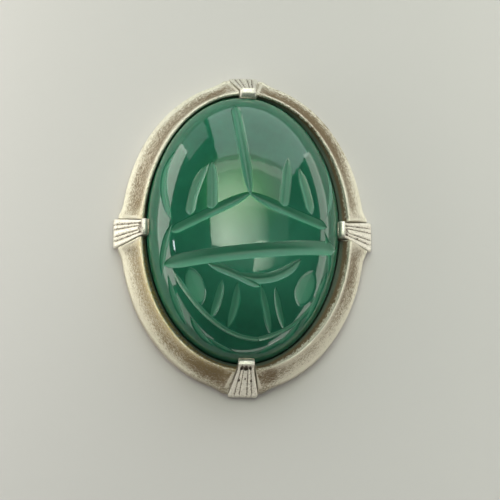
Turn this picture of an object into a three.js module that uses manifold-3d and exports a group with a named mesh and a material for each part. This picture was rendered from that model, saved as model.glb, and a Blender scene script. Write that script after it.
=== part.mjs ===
// A mounted scarab: a beetle cut in green chalcedony as a high oval cabochon, held in an
// open-backed silver frame by four fluted claws.
//
// Millimetres. X runs across the beetle, Y along it with the tail at +Y and the head at -Y, and
// Z points up. The origin is under the middle of the frame, on the surface that it lies on.
//
// The stone is an oval girdle with a dome on it, and its carving is a list of wheel cuts: each
// cut is a V-shaped groove that runs along an arc on the dome and tapers at its ends. The frame
// is one ring, lofted round two ovals, with a hollowed slope between a rim and a lip. The four
// claws lie in slots through the lip and grip the stone's edge.

import * as THREE from "three";
import { mergeVertices } from "three/addons/utils/BufferGeometryUtils.js";
import Module from "manifold-3d";

// ---- Driving dimensions ----

// The stone. It sits a little off the frame's centre, as a hand-set stone does.
const STONE = {
  halfWidth: 9.0,
  halfLength: 12.7,
  centre: [-0.15, 0.1],
  baseZ: 0.8, // flat underside
  girdleZ: 2.6, // where the upright girdle ends and the dome begins
  topZ: 8.0,
  fullness: 2.2, // exponent of the dome's profile: 2 is an ellipse, more is squarer
  bevel: 0.4, // round the underside's edge
};

// The frame's ring. Widths are measured outward from the opening's oval.
const FRAME = {
  halfWidth: 9.62, // of the opening at the lip
  halfLength: 12.95,
  ringWidth: 1.8,
  rimZ: 1.4, // top of the upright outer wall
  rimWidth: 0.25, // raised edge along the rim
  lipZ: 3.6, // highest line, round the opening
  lipWidth: 0.3, // raised edge round the opening
  edge: 0.12, // bevel on every edge
  hollow: 0.2, // how deep the slope between rim and lip is hollowed
  ledgeZ: 0.75, // the stone's underside rests here
  ledgeWidth: 1.35,
  flare: 0.3, // how far the rim swings out to meet a claw's foot
  flareReach: 1.1, // and how far from the claw it starts to
};
const SEAT_CLEARANCE = 0.3; // between the girdle and the seat's wall, all round

// The claws. Foot and tip are distances from the frame's centre.
const CLAW = {
  footHalfWidth: 1.45,
  tipHalfWidth: 0.74,
  footZ: 0.4, // underside of the foot
  shoulderZ: 3.85, // top of the fluted fan, behind the pad
  padZ: 4.42, // top of the pad that grips the stone
  padLength: 0.75,
  thickness: 1.0,
  corner: 0.13, // cut off the foot's corners
  fluteDepth: 0.16,
};
const CLAWS = [
  { name: "claw_right", turn: 0, foot: 12.15, tip: 8.65 },
  { name: "claw_tail", turn: 90, foot: 15.3, tip: 12.45 },
  { name: "claw_left", turn: 180, foot: 12.15, tip: 8.8 },
  { name: "claw_head", turn: 270, foot: 15.3, tip: 12.2 },
];
const JOINT = 0.08; // gap round a claw in its slot
const CONTACT = 0.03; // gap between a claw's pad and the stone

// The carving. A cut runs from one point to the other, seen from above and measured from the
// stone's centre. bow is how far the middle of the arc stands to the left of that line, and
// ends are the shares of the length over which the cut tapers at its start and its end.
const cut = (from, to, width, { bow = 0, ends = [0.4, 0.4], depth = 0.34 * width } = {}) => ({
  from,
  to,
  width,
  bow,
  ends,
  depth,
});

const CUTS = [
  // The line between the wing cases, and the two lines that part them from the thorax.
  cut([-0.85, 11.2], [0.4, 2.2], 1.0, { ends: [0.12, 0.45] }),
  cut([0.35, 2.3], [-6.8, -0.85], 0.95, { bow: 0.15, ends: [0.3, 0.35] }),
  cut([0.4, 2.3], [7.2, -0.3], 0.95, { bow: -0.27, ends: [0.3, 0.35] }),
  // The broad line between thorax and head.
  cut([-7.5, -4.0], [8.4, -2.2], 1.5, { ends: [0.2, 0.08], depth: 0.42 }),
  // The shield of the head.
  cut([-1.5, -4.9], [5.0, -3.6], 1.0, { bow: -1.25 }),
  cut([-3.3, -4.2], [1.2, -6.3], 0.7, { bow: 0.1 }),
  // Four rays in front of the shield.
  cut([-2.2, -5.8], [-3.1, -9.1], 0.7, { bow: 0.15 }),
  cut([-0.7, -6.0], [-1.5, -10.0], 0.8, { bow: 0.2 }),
  cut([1.5, -6.1], [2.4, -10.3], 0.8),
  cut([2.6, -6.4], [3.8, -9.8], 0.7, { bow: -0.1 }),
  // The eyes, two shallow leaf-shaped hollows.
  cut([-5.2, -4.3], [-3.9, -7.6], 1.6, { depth: 0.26 }),
  cut([6.2, -4.5], [4.7, -7.6], 1.5, { depth: 0.26 }),
  // The edge of the body round the head.
  cut([-6.5, -4.2], [0.8, -10.7], 0.42, { bow: -1.2, ends: [0.15, 0.02] }),
  cut([0.8, -10.7], [7.0, -4.7], 0.42, { bow: -1.45, ends: [0.02, 0.15] }),
  // Two strokes and a scratch on each wing case.
  cut([-3.9, 5.0], [-5.25, 0.4], 0.75, { bow: 0.15 }),
  cut([-3.05, 5.5], [-3.05, 0.9], 0.8, { bow: -0.06 }),
  cut([5.15, 5.2], [6.15, 0.5], 0.65, { bow: 0.25 }),
  cut([4.0, 6.3], [3.3, 1.2], 0.75, { bow: -0.1 }),
];

// The legs, cut low on both sides: behind, in the middle, and three in front.
const LEGS = [
  cut([6.9, 8.2], [7.2, 0.4], 0.55, { bow: 1.0 }),
  cut([7.1, -0.5], [7.7, -4.7], 0.5, { bow: 0.3 }),
  cut([7.3, -4.4], [5.2, -9.7], 0.9, { bow: 0.35 }),
  cut([5.4, -8.8], [2.4, -11.5], 0.8, { bow: 0.25 }),
  cut([3.5, -10.5], [0.5, -12.0], 0.6, { bow: 0.2 }),
];

// ---- Solids ----

const wasm = await Module();
wasm.setup();

// A three.js geometry as a solid: vertices merged, and faces that collapse at a pole dropped.
function solidOf(geometry) {
  const bare = new THREE.BufferGeometry();
  bare.setAttribute("position", geometry.getAttribute("position"));
  if (geometry.index) bare.setIndex(geometry.index);
  const merged = mergeVertices(bare, 1e-4);
  const triangles = [];
  for (let i = 0; i < merged.index.count; i += 3) {
    const [a, b, c] = [0, 1, 2].map((k) => merged.index.getX(i + k));
    if (a !== b && b !== c && c !== a) triangles.push(a, b, c);
  }
  return new wasm.Manifold(
    new wasm.Mesh({
      numProp: 3,
      vertProperties: new Float32Array(merged.attributes.position.array),
      triVerts: new Uint32Array(triangles),
    }),
  );
}

// A solid as a flat-shaded three.js geometry.
function geometryOf(solid) {
  const mesh = solid.getMesh();
  const positions = new Float32Array(mesh.numVert * 3);
  for (let i = 0; i < mesh.numVert; i++)
    positions.set(mesh.vertProperties.subarray(i * mesh.numProp, i * mesh.numProp + 3), i * 3);
  const geometry = new THREE.BufferGeometry();
  geometry.setAttribute("position", new THREE.BufferAttribute(positions, 3));
  geometry.setIndex(new THREE.BufferAttribute(mesh.triVerts, 1));
  geometry.computeVertexNormals();
  return geometry;
}

// A solid through a row of sections, each the same number of Vector3 points, anticlockwise as
// seen by someone who looks back along the row. A closed row joins its last section to its
// first. An open one is capped, and outline gives the 2-D points that a cap is cut into.
function loft(sections, { closed = false, outline = null } = {}) {
  const around = sections[0].length;
  const positions = sections.flat().flatMap((p) => [p.x, p.y, p.z]);
  const index = [];
  const steps = closed ? sections.length : sections.length - 1;
  for (let s = 0; s < steps; s++)
    for (let k = 0; k < around; k++) {
      const here = s * around;
      const next = ((s + 1) % sections.length) * around;
      const k2 = (k + 1) % around;
      index.push(here + k, here + k2, next + k2);
      index.push(here + k, next + k2, next + k);
    }
  if (!closed) {
    const last = (sections.length - 1) * around;
    for (const triangle of THREE.ShapeUtils.triangulateShape(outline, [])) {
      const [a, b, c] = triangle.sort((p, q) => p - q); // the ring's own sense
      index.push(a, c, b);
      index.push(last + a, last + b, last + c);
    }
  }
  const geometry = new THREE.BufferGeometry();
  geometry.setAttribute("position", new THREE.Float32BufferAttribute(positions, 3));
  geometry.setIndex(index);
  return solidOf(geometry);
}

// ---- The stone ----

// Height of the dome above a point given from the stone's centre.
function domeZ(x, y) {
  const { halfWidth, halfLength, girdleZ, topZ, fullness } = STONE;
  const reach = Math.min(1, Math.hypot(x / halfWidth, y / halfLength));
  return girdleZ + (topZ - girdleZ) * (1 - reach ** fullness) ** (1 / fullness);
}

// The uncarved stone, larger by a margin where a clearance is wanted.
function blankStone(margin = 0) {
  const { halfWidth, halfLength, centre, baseZ, girdleZ, topZ, fullness, bevel } = STONE;
  const rings = 12;
  const profile = [
    new THREE.Vector2(0, baseZ),
    new THREE.Vector2(1 - bevel / halfWidth, baseZ),
    new THREE.Vector2(1, baseZ + bevel),
    new THREE.Vector2(1, girdleZ),
  ];
  for (let i = 1; i <= rings; i++) {
    const angle = (i / rings) * (Math.PI / 2);
    const out = Math.cos(angle) ** (2 / fullness);
    const up = Math.sin(angle) ** (2 / fullness);
    profile.push(new THREE.Vector2(i === rings ? 0 : out, girdleZ + (topZ - girdleZ) * up));
  }
  const lathe = new THREE.LatheGeometry(profile, 64);
  lathe.rotateX(Math.PI / 2);
  const middle = (baseZ + topZ) / 2;
  lathe.translate(0, 0, -middle);
  lathe.scale(halfWidth + margin, halfLength + margin, 1 + margin / (topZ - middle));
  lathe.translate(centre[0], centre[1], middle);
  return solidOf(lathe);
}

// The wheel's path: sections of a four-sided blade whose lower edge lies in the dome and whose
// upper edge clears it, along the cut's arc. The blade stops just short of its two points.
function bladeOf({ from, to, width, bow, ends, depth }) {
  const start = new THREE.Vector2(...from);
  const end = new THREE.Vector2(...to);
  const along = end.clone().sub(start);
  const left = new THREE.Vector2(-along.y, along.x).normalize();
  const steps = THREE.MathUtils.clamp(Math.round(along.length() / 0.8), 6, 14);
  const lift = 0.5; // how far the blade stands above the dome
  const point = 0.01;
  const sections = [];
  for (let i = 0; i <= steps; i++) {
    const t = THREE.MathUtils.lerp(point, 1 - point, i / steps);
    const path = (s) => {
      const p = start.clone().addScaledVector(along, s);
      p.addScaledVector(left, bow * 4 * s * (1 - s));
      return new THREE.Vector3(p.x, p.y, domeZ(p.x, p.y));
    };
    const taper =
      Math.sin((Math.PI / 2) * Math.min(1, t / ends[0])) *
      Math.sin((Math.PI / 2) * Math.min(1, (1 - t) / ends[1]));
    const here = path(t);
    const forward = path(t + point).sub(path(t - point)).normalize();
    const up = normalAt(here);
    const side = new THREE.Vector3().crossVectors(up, forward).normalize();
    const spread = (width / 2) * (1 + lift / depth) * taper;
    const place = (across, high) =>
      here.clone().addScaledVector(side, across).addScaledVector(up, high)
        .add(new THREE.Vector3(...STONE.centre, 0));
    sections.push([
      place(0, -depth * taper),
      place(spread, lift * taper),
      place(0, 1.4 * lift * taper),
      place(-spread, lift * taper),
    ]);
  }
  const outline = [[0, -1], [1, 0], [0, 1], [-1, 0]].map((p) => new THREE.Vector2(...p));
  return loft(sections, { outline });
}

// The dome's outward normal, from the slope of its surface.
function normalAt(p) {
  const { halfWidth, halfLength, girdleZ, topZ, fullness } = STONE;
  const reach = Math.max(1e-6, Math.hypot(p.x / halfWidth, p.y / halfLength));
  const fall = reach ** (fullness - 2);
  const height = Math.max(0, (p.z - girdleZ) / (topZ - girdleZ));
  return new THREE.Vector3(
    (p.x / halfWidth ** 2) * fall,
    (p.y / halfLength ** 2) * fall,
    height ** (fullness - 1) / (topZ - girdleZ),
  ).normalize();
}

const mirrored = (c) => ({
  ...c,
  from: [-c.from[0], c.from[1]],
  to: [-c.to[0], c.to[1]],
  bow: -c.bow,
});

function carvedStone() {
  const blades = [...CUTS, ...LEGS, ...LEGS.map(mirrored)].map(bladeOf);
  return blades.reduce((stone, blade) => stone.subtract(blade), blankStone());
}

// ---- The frame ----

// Points on the ovals that carry the frame's sections, at one direction from the centre.
function ovalPoint(halfWidth, halfLength, angle) {
  return new THREE.Vector2(halfWidth * Math.cos(angle), halfLength * Math.sin(angle));
}

// Directions of the sections, closer together near the claws, where the form changes.
function sectionAngles(perQuarter = 24, crowding = 0.5) {
  const angles = [];
  for (let quarter = 0; quarter < 4; quarter++)
    for (let i = 0; i < perQuarter; i++) {
      const t = i / perQuarter;
      const spread = t - (crowding * Math.sin(2 * Math.PI * t)) / (2 * Math.PI);
      angles.push((quarter + spread) * (Math.PI / 2));
    }
  return angles;
}

// How near a point lies to a claw's side: 0 out in the panel, 1 beside or under the claw, and
// rising ever faster on the way, like a fillet.
function besideClaw(point, reach) {
  const off = Math.min(Math.abs(point.x), Math.abs(point.y)) - CLAW.footHalfWidth;
  return THREE.MathUtils.clamp(1 - off / reach, 0, 1) ** 2;
}

function frameSection(angle) {
  const { halfWidth, halfLength, rimZ, lipZ, edge, ledgeZ, ledgeWidth } = FRAME;
  const opening = ovalPoint(halfWidth, halfLength, angle);
  const outward = new THREE.Vector2(
    Math.cos(angle) / halfWidth,
    Math.sin(angle) / halfLength,
  ).normalize();
  const seatWidth = STONE.halfWidth + SEAT_CLEARANCE;
  const seatLength = STONE.halfLength + SEAT_CLEARANCE;
  const seat = ovalPoint(seatWidth, seatLength, angle);
  const back = ovalPoint(seatWidth - ledgeWidth, seatLength - ledgeWidth, angle);
  const beside = besideClaw(opening, FRAME.flareReach);
  const rim = FRAME.ringWidth + FRAME.flare * beside;
  const at = (r, z) => {
    const p = opening.clone().addScaledVector(outward, r);
    return new THREE.Vector3(p.x, p.y, z);
  };
  const on = (p, z) => new THREE.Vector3(p.x, p.y, z);
  const slope = (share) => {
    const r = THREE.MathUtils.lerp(rim - FRAME.rimWidth, FRAME.lipWidth, share);
    const z = THREE.MathUtils.lerp(rimZ + edge, lipZ - edge, share);
    const dip = FRAME.hollow * (1 - beside) * Math.sin(Math.PI * share);
    return at(r - dip, z - dip);
  };
  return [
    on(back, 0),
    at(rim - edge, 0),
    at(rim, edge),
    at(rim, rimZ - edge),
    at(rim - edge, rimZ),
    slope(0),
    slope(0.28),
    slope(0.5),
    slope(0.72),
    slope(1),
    at(FRAME.lipWidth / 2, lipZ),
    at(0, lipZ - edge),
    on(seat, STONE.girdleZ - 0.6),
    on(seat, ledgeZ),
    on(back, ledgeZ),
  ];
}

// The ring, anticlockwise, so each section is turned round to face back along the row.
function frameRing() {
  const sections = sectionAngles().map((angle) => frameSection(angle).reverse());
  return loft(sections, { closed: true });
}

// ---- The claws ----

// Across the fan, from one side (-1) to the other (1): ridges with four V-shaped grooves.
const GROOVES = [-0.57, -0.25, 0.25, 0.57];
const GROOVE_HALF_WIDTH = 0.09;
const ACROSS = [
  -1,
  ...GROOVES.flatMap((u) => [u - GROOVE_HALF_WIDTH, u, u + GROOVE_HALF_WIDTH]),
  1,
];

// The claw along its length, from foot to tip. share runs from the foot (0) to the start of the
// pad (1), and past it the pad is measured in millimetres.
function clawStations({ foot, tip }) {
  const { footZ, shoulderZ, padZ, padLength, thickness, corner, fluteDepth } = CLAW;
  const padFoot = tip + padLength;
  const underPad = shoulderZ - thickness;
  const fan = (share, depth) => ({
    r: THREE.MathUtils.lerp(foot - corner, padFoot + 0.06, share),
    top: THREE.MathUtils.lerp(footZ + 0.6, shoulderZ, share),
    under: THREE.MathUtils.lerp(footZ, underPad, Math.max(0, share - 0.15) / 0.85),
    depth,
  });
  return [
    { r: foot, top: footZ + 0.4, under: footZ, depth: 0 },
    fan(0, 0.6 * fluteDepth),
    fan(0.5, fluteDepth),
    fan(1, 1.2 * fluteDepth),
    { r: padFoot, top: padZ - 0.05, under: underPad, depth: 0 },
    { r: tip + 0.5 * padLength, top: padZ, under: underPad, depth: 0 },
    { r: tip + corner, top: padZ - corner, under: underPad, depth: 0 },
    { r: tip, top: padZ - 3 * corner, under: underPad, depth: 0 },
  ];
}

// One claw on the +X side. margin grows it on every side, for the slot that it lies in, and the
// slot goes on upwards.
function clawBlank(claw, margin = 0) {
  const sections = clawStations(claw).map(({ r, top, under, depth }, i, all) => {
    const share = (claw.foot - r) / (claw.foot - claw.tip - CLAW.padLength);
    const corner = i === 0 ? CLAW.corner : 0;
    const half =
      THREE.MathUtils.lerp(CLAW.footHalfWidth, CLAW.tipHalfWidth, Math.min(1, share)) +
      margin -
      corner;
    const x = r + (i === 0 ? margin : 0) - (i === all.length - 1 ? margin : 0);
    const crown = ACROSS.map((u) => {
      const inGroove = GROOVES.some((g) => Math.abs(g - u) < 1e-9);
      const rounding = 0.1 * Math.abs(u) ** 3;
      const z = margin ? CLAW.padZ + 1 : top - rounding - (inGroove ? depth : 0);
      return new THREE.Vector3(x, u * half, z);
    });
    const low = under - margin;
    return [new THREE.Vector3(x, -half, low), ...crown, new THREE.Vector3(x, half, low)];
  });
  return loft(sections, { outline: sections[2].map((p) => new THREE.Vector2(p.y, p.z)) });
}

const turned = (solid, degrees) => solid.rotate([0, 0, degrees]);

// ---- The object ----

const SILVER = new THREE.MeshStandardMaterial({ color: 0xb9b1a2, roughness: 0.38, metalness: 1 });
const BRIGHT_SILVER = new THREE.MeshStandardMaterial({
  color: 0xe4e1d8,
  roughness: 0.25,
  metalness: 1,
});
const CHALCEDONY = new THREE.MeshStandardMaterial({
  color: 0x1f6b4c,
  roughness: 0.08,
  metalness: 0,
});

function named(name, solid, material) {
  const mesh = new THREE.Mesh(geometryOf(solid), material);
  mesh.name = name;
  return mesh;
}

const stone = carvedStone();
const grip = blankStone(CONTACT);
const slots = CLAWS.map((claw) => turned(clawBlank(claw, JOINT), claw.turn));
const ring = slots.reduce((body, slot) => body.subtract(slot), frameRing());

const object = new THREE.Group();
object.name = "mounted_scarab";
object.add(named("scarab", stone, CHALCEDONY));
object.add(named("frame", ring, SILVER));
for (const claw of CLAWS)
  object.add(named(claw.name, turned(clawBlank(claw), claw.turn).subtract(grip), BRIGHT_SILVER));

export default object;
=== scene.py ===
"""A mounted scarab: a beetle cut in green chalcedony, held in a silver frame by four claws.

Everything is in metres, in the frame's own axes: +Z up out of the stone, +Y from the beetle's
head to its tail, and the origin under the middle of the frame. Sizes that the metalwork already
has are read from it, and sizes written as a number times MM are millimetres.
"""

import math

import bpy
import numpy as np
from bpy.props import FloatProperty, FloatVectorProperty, IntProperty, PointerProperty
from mathutils import Matrix, Vector


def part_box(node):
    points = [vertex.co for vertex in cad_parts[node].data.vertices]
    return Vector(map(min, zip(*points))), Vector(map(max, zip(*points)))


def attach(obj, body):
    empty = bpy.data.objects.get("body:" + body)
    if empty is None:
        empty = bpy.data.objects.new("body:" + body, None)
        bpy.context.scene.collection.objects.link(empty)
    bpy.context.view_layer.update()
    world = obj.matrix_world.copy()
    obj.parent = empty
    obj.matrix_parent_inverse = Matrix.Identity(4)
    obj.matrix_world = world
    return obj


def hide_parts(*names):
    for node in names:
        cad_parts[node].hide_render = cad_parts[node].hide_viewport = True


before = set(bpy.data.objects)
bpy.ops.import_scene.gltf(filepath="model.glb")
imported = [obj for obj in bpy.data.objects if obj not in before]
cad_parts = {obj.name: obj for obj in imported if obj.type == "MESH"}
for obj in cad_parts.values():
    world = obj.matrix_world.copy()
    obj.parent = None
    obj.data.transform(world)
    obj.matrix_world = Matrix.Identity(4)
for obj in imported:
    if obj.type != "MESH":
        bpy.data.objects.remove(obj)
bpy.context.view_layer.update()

bl_info = {
    "name": "Mounted Scarab",
    "version": (1, 0, 0),
    "blender": (4, 5, 0),
    "location": "View3D > Sidebar > Scarab",
    "description": "A green chalcedony scarab in a silver frame with four fluted claws",
    "category": "Add Mesh",
}

MM = 0.001


# ---- What the metalwork gives ----

STONE_LOW, STONE_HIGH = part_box("scarab")
STONE_CENTRE = (STONE_LOW + STONE_HIGH) / 2
DOME_CENTRE = (STONE_CENTRE.x / MM, STONE_CENTRE.y / MM, 0)  # in millimetres
STONE_HALF_WIDTH = (STONE_HIGH.x - STONE_LOW.x) / 2
STONE_HALF_LENGTH = (STONE_HIGH.y - STONE_LOW.y) / 2
FRAME_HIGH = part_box("frame")[1]


# ---- Settings ----


def length(name, description, millimetres):
    """A length that a user can change, in millimetres here and in metres in the scene."""
    return FloatProperty(
        name=name, description=description, default=millimetres * MM, unit="LENGTH", precision=5
    )


def colour(name, description, value):
    return FloatVectorProperty(
        name=name, description=description, default=value, subtype="COLOR", size=3, min=0, max=1
    )


def camera_angle(name, degrees):
    return FloatProperty(
        name=name, description="Of the camera", default=math.radians(degrees), subtype="ANGLE"
    )


class StoneSettings(bpy.types.PropertyGroup):
    girdle: length("Girdle", "Height where the dome begins", 2.6)
    bevel: length("Bevel", "Bevel round the underside", 0.4)
    fullness: FloatProperty(
        name="Fullness", description="Exponent of the dome: 2 is an ellipse", default=2.2
    )
    around: IntProperty(name="Around", description="Faces round the girdle", default=320)
    rings: IntProperty(name="Rings", description="Rings of faces up the dome", default=96)
    body: colour("Body", "The stone's deep green", (0.004, 0.07, 0.038))
    cloud: colour("Cloud", "The paler green of its clouds", (0.013, 0.125, 0.068))
    # Glow and heart are painted light, not colours of the stone: a yellower green below its crown
    # and a lighter green where it is thickest stand for light passing through it.
    painted_glow: colour("Glow", "The yellower green below its crown", (0.03, 0.21, 0.068))
    painted_inner_light: colour("Heart", "The lighter green where the stone is thickest", (0.03, 0.19, 0.115))
    ground: colour("Ground", "The cut lines, left matt by the wheel", (0.032, 0.195, 0.112))


class FrameSettings(bpy.types.PropertyGroup):
    opening_width: length("Opening width", "Half the opening at the lip", 9.62)
    opening_length: length("Opening length", "Half the opening at the lip", 12.95)
    ring_width: length("Ring width", "From the opening out to the rim", 1.8)
    rim: length("Rim", "Top of the upright outer wall", 1.4)
    rim_width: length("Rim width", "Raised edge along the rim", 0.25)
    lip_width: length("Lip width", "Raised edge round the opening", 0.3)
    edge: length("Edge", "Rounding of every edge", 0.12)
    hollow: length("Hollow", "How deep the slope is hollowed", 0.2)
    ledge: length("Ledge", "Height of the ledge under the stone", 0.75)
    ledge_width: length("Ledge width", "How far it reaches under the stone", 1.35)
    clearance: length("Clearance", "Between the stone and its seat", 0.3)
    flare: length("Flare", "How far the rim swings out at a claw", 0.3)
    flare_reach: length("Flare reach", "How far from the claw it starts to", 1.1)
    rib: length("Rib", "Height of the bright edge along each claw", 0.16)
    nearing: length("Nearing", "How much closer the lip is at the left and the tail", 0.45)
    parting: length("Parting", "How much farther the lip is round the head", 0.33)
    # The seat's inner wall: plain frame, not dirt; the green-grey on it is painted shade and the
    # stone's reflection.
    seat_gap: length("Packing", "Gap left round the stone by the dirt packed into its seat", 0.06)
    packed: length("Packed", "Height of that dirt at the stone", 3.1)
    around: IntProperty(name="Around", description="Sections round the ring", default=800)
    silver: colour("Silver", "Worn silver", (0.66, 0.615, 0.515))
    tarnish: colour("Tarnish", "Brown tarnish in the hollow", (0.185, 0.134, 0.082))


class ClawSettings(bpy.types.PropertyGroup):
    foot_width: length("Foot width", "Half the width at the foot", 1.45)
    tip_width: length("Tip width", "Half the width at the pad", 0.74)
    foot: length("Foot", "Underside of the foot", 0.4)
    foot_rise: length("Foot rise", "Thickness at the foot", 0.6)
    shoulder: length("Shoulder", "Top of the fan behind the pad", 3.85)
    pad: length("Pad", "Top of the pad that grips the stone", 4.42)
    pad_length: length("Pad length", "Along the claw", 0.75)
    tail_pad: length("Tail pad", "Length of the tail claw's pad", 1.0)
    thickness: length("Thickness", "Of the fan", 1.0)
    corner: length("Corner", "Rounding of the foot and the pad", 0.13)
    round: length("Round", "Rounding of the foot's corners, seen from above", 0.3)
    flute: length("Flute", "Depth of the lines between the flutes", 0.2)
    joint: length("Joint", "Gap round a claw in its slot", 0.08)
    contact: length("Contact", "Gap between a claw and the stone", 0.03)
    silver: colour("Silver", "Bright silver", (0.75, 0.715, 0.635))
    # The flutes' dark lines are partly tarnish and partly painted dark reflection in the grooves.
    tarnish: colour("Tarnish", "Dark lines between the flutes", (0.16, 0.13, 0.1))
    tail_lean: length("Tail lean", "How far the tail claw's pad stands to the right", 0.3)
    head_lean: length("Head lean", "How far the head claw's pad stands to the right", 0.15)


class StageSettings(bpy.types.PropertyGroup):
    distance: length("Distance", "From the camera to the scarab", 220)
    elevation: camera_angle("Elevation", 77)
    azimuth: camera_angle("Azimuth", -17)
    floor: colour("Floor", "Plain pale floor", (0.57, 0.535, 0.53))


# ---- Nodes ----


def math_method(operation, swap=False):
    """A method of Field that adds one Math node."""
    return lambda self, *others: self.math(operation, *others, swap=swap)


class Field:
    """A number that varies over a surface. Arithmetic on it adds Math nodes to its tree."""

    def __init__(self, tree, socket):
        self.tree = tree
        self.socket = socket

    def math(self, operation, *others, swap):
        values = [*others, self] if swap else [self, *others]
        made = self.tree.nodes.new("ShaderNodeMath")
        made.operation = operation
        for socket, value in zip(made.inputs, values):
            feed(self.tree, socket, value)
        return Field(self.tree, made.outputs[0])

    __add__ = __radd__ = math_method("ADD")
    __sub__ = math_method("SUBTRACT")
    __rsub__ = math_method("SUBTRACT", swap=True)
    __mul__ = __rmul__ = math_method("MULTIPLY")
    __truediv__ = math_method("DIVIDE")
    __pow__ = math_method("POWER")
    __abs__ = math_method("ABSOLUTE")
    sin = math_method("SINE")
    cos = math_method("COSINE")
    root = math_method("SQRT")
    least = math_method("MINIMUM")
    most = math_method("MAXIMUM")
    above = math_method("GREATER_THAN")
    turn_from = math_method("ARCTAN2")

    def __neg__(self):
        return self * -1.0

    def within(self, low=0.0, high=1.0):
        return self.most(low).least(high)

    def toward(self, other, share):
        """The value a share of the way from this one to another."""
        return self + (other - self) * share

    def smooth(self, start, end):
        """0 before start, 1 after end, and an eased rise between them."""
        values = {"Value": self, "From Min": start, "From Max": end}
        made = add(self.tree, "ShaderNodeMapRange", values, interpolation_type="SMOOTHSTEP")
        return Field(self.tree, made.outputs[0])


def feed(tree, socket, value):
    """Links a socket or a Field to an input, or sets the input to a plain value."""
    if isinstance(value, Field):
        value = value.socket
    if isinstance(value, bpy.types.NodeSocket):
        tree.links.new(value, socket)
    else:
        socket.default_value = value


def add(tree, kind, inputs=None, **settings):
    """A new node, with its settings made and its inputs filled by name or number."""
    made = tree.nodes.new(kind)
    for name, value in settings.items():
        setattr(made, name, value)
    for name, value in (inputs or {}).items():
        feed(tree, made.inputs[name], value)
    return made


def new_tree(name, kind, inputs, outputs):
    """A node group with sockets of given kinds. Returns it with its input and output nodes."""
    tree = bpy.data.node_groups.new(name, kind)
    for in_out, sockets in (("INPUT", inputs), ("OUTPUT", outputs)):
        for label, socket in sockets.items():
            tree.interface.new_socket(label, in_out=in_out, socket_type=f"NodeSocket{socket}")
    return tree, tree.nodes.new("NodeGroupInput"), tree.nodes.new("NodeGroupOutput")


def geometry_tree(name, **labels):
    """A Geometry Nodes tree, from its inputs' labels by kind of socket.

    Returns it, its inputs by label, as Fields where they are numbers, and its output node.
    """
    inputs = {"Geometry": "Geometry"}
    inputs |= {label: kind for kind, named in labels.items() for label in named}
    tree, source, result = new_tree(name, "GeometryNodeTree", inputs, {"Geometry": "Geometry"})
    given = {label: source.outputs[label] for label in inputs}
    given |= {label: Field(tree, given[label]) for label in labels["Float"]}
    return tree, given, result


def parts(tree, place):
    """The three parts of a vector, as Fields."""
    split = add(tree, "ShaderNodeSeparateXYZ", {0: place})
    return [Field(tree, socket) for socket in split.outputs]


def coordinates(tree):
    """The three parts of Position."""
    return parts(tree, add(tree, "GeometryNodeInputPosition").outputs[0])


def vector(tree, x, y, z):
    return add(tree, "ShaderNodeCombineXYZ", {0: x, 1: y, 2: z}).outputs[0]


def vector_math(tree, operation, *values):
    return add(tree, "ShaderNodeVectorMath", dict(enumerate(values)), operation=operation)


def moved(tree, geometry, place):
    """The geometry with each point at its new place."""
    made = add(tree, "GeometryNodeSetPosition", {"Geometry": geometry, "Position": place})
    return made.outputs[0]


def noted(tree, geometry, name, value):
    """The geometry with a number kept at each point, for its material to read."""
    values = {"Geometry": geometry, "Name": name, "Value": value}
    kind = {"data_type": "FLOAT", "domain": "POINT"}
    return add(tree, "GeometryNodeStoreNamedAttribute", values, **kind).outputs[0]


def eased(tree, curve, radius):
    """The curve with its corners rounded."""
    values = {"Curve": curve, "Radius": radius, "Limit Radius": True, "Count": 5}
    return add(tree, "GeometryNodeFilletCurve", values, mode="POLY").outputs[0]


def divided_box(tree, along, across):
    """A box from -1 to 1, divided along X and across Y."""
    sizes = {"Size": (2, 2, 2), "Vertices X": along, "Vertices Y": across, "Vertices Z": 2}
    return add(tree, "GeometryNodeMeshCube", sizes).outputs["Mesh"]


def curve_through(tree, value, points, smooth=False):
    """A Float Curve through (position, height) points, both from 0 to 1."""
    made = add(tree, "ShaderNodeFloatCurve", {"Value": value})
    line = made.mapping.curves[0]
    while len(line.points) < len(points):
        line.points.new(0.5, 0.5)
    for point, place in zip(line.points, points):
        point.location = place
        point.handle_type = "AUTO" if smooth else "VECTOR"
    made.mapping.update()
    return Field(tree, made.outputs[0])


def finish_tree(tree, result, geometry, material, sharp_angle):
    """Smooth shading with sharp edges past an angle, then the tree's last two nodes."""
    angle = Field(tree, add(tree, "GeometryNodeInputMeshEdgeAngle").outputs[0])
    faces = add(tree, "GeometryNodeSetShadeSmooth", {0: geometry, "Shade Smooth": True})
    sharp = {"Selection": angle.above(sharp_angle), "Shade Smooth": False, 0: faces.outputs[0]}
    edges = add(tree, "GeometryNodeSetShadeSmooth", sharp, domain="EDGE")
    real = add(tree, "GeometryNodeRealizeInstances", {0: edges.outputs[0]})
    dressed = add(tree, "GeometryNodeSetMaterial", {0: real.outputs[0], "Material": material})
    feed(tree, result.inputs[0], dressed.outputs[0])


# ---- Meshes ----


def new_object(name, mesh=None):
    made = bpy.data.objects.new(name, mesh or bpy.data.meshes.new(name))
    bpy.context.scene.collection.objects.link(made)
    return made


def grow(target, tree, values):
    """Puts a geometry tree on an object, with the tree's inputs set by their names."""
    modifier = target.modifiers.new(tree.name, "NODES")
    modifier.node_group = tree
    for item in tree.interface.items_tree:
        if item.in_out == "INPUT" and item.name in values:
            modifier[item.identifier] = values[item.name]


def settle(target):
    """Turns what an object's modifiers make into its own plain mesh, and removes them."""
    graph = bpy.context.evaluated_depsgraph_get()
    mesh = bpy.data.meshes.new_from_object(target.evaluated_get(graph), depsgraph=graph)
    target.modifiers.clear()
    target.data = mesh
    mesh.name = target.name
    if not mesh.polygons:
        raise RuntimeError(f"{target.name} came out empty")


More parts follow.
